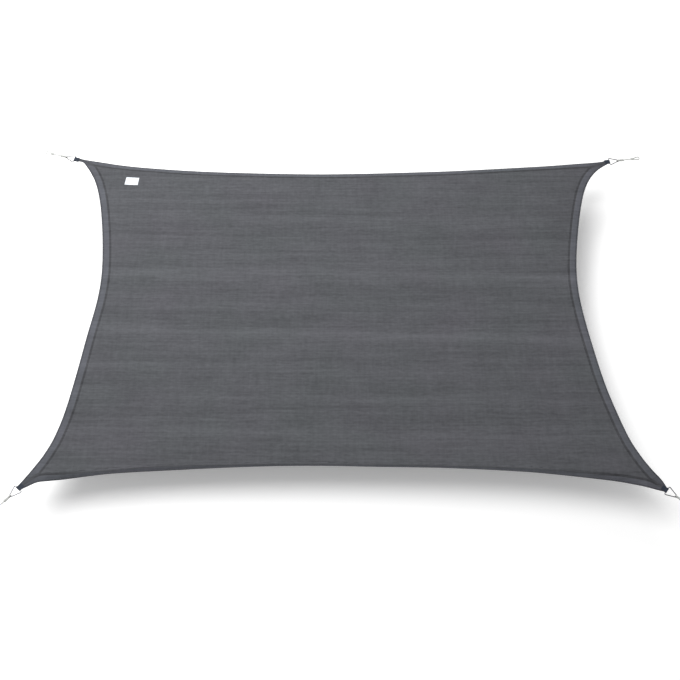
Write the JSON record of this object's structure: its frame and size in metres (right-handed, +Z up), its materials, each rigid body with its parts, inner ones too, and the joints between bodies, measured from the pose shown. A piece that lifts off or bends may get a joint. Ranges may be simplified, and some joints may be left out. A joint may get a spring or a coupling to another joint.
{
  "type": "shade sail",
  "caption": "Rectangular knitted shade sail with hollow-cut, hemmed edges, stretched nearly level by a rope through a steel ring at each corner.",
  "frame": {"origin": "middle of the sail in plan and in height, its ropes left out", "axes": "+X along the long sides, toward the picture's right; +Y along the short sides, away from the picture's near edge; +Z up, square to the hung cloth"},
  "size_m": [3.345, 2.194, 0.0567],
  "materials": {
    "knit_cloth": "charcoal knitted polyethylene mesh cloth, matte, with faint bars across and fine ribs along",
    "label_cloth": "plain white woven tape, blank",
    "webbing": "blue-black woven polyester webbing",
    "ring_steel": "polished stainless wire, welded",
    "rope_fibre": "pale braided rope"
  },
  "bodies": {
    "root": {"sail_cloth": "knit_cloth", "care_label": "label_cloth", "strap_near_left": "webbing", "strap_near_right": "webbing", "strap_far_right": "webbing", "strap_far_left": "webbing", "ring_near_left": "ring_steel", "ring_near_right": "ring_steel", "ring_far_right": "ring_steel", "ring_far_left": "ring_steel", "rope_eye_near_left": "rope_fibre", "rope_eye_near_right": "rope_fibre", "rope_eye_far_right": "rope_fibre", "rope_eye_far_left": "rope_fibre", "rope_near_left": "rope_fibre", "rope_near_right": "rope_fibre", "rope_far_right": "rope_fibre", "rope_far_left": "rope_fibre", "rope_loop_near_left": "rope_fibre", "rope_loop_near_right": "rope_fibre", "rope_loop_far_right": "rope_fibre", "rope_loop_far_left": "rope_fibre"}
  },
  "joints": []
}
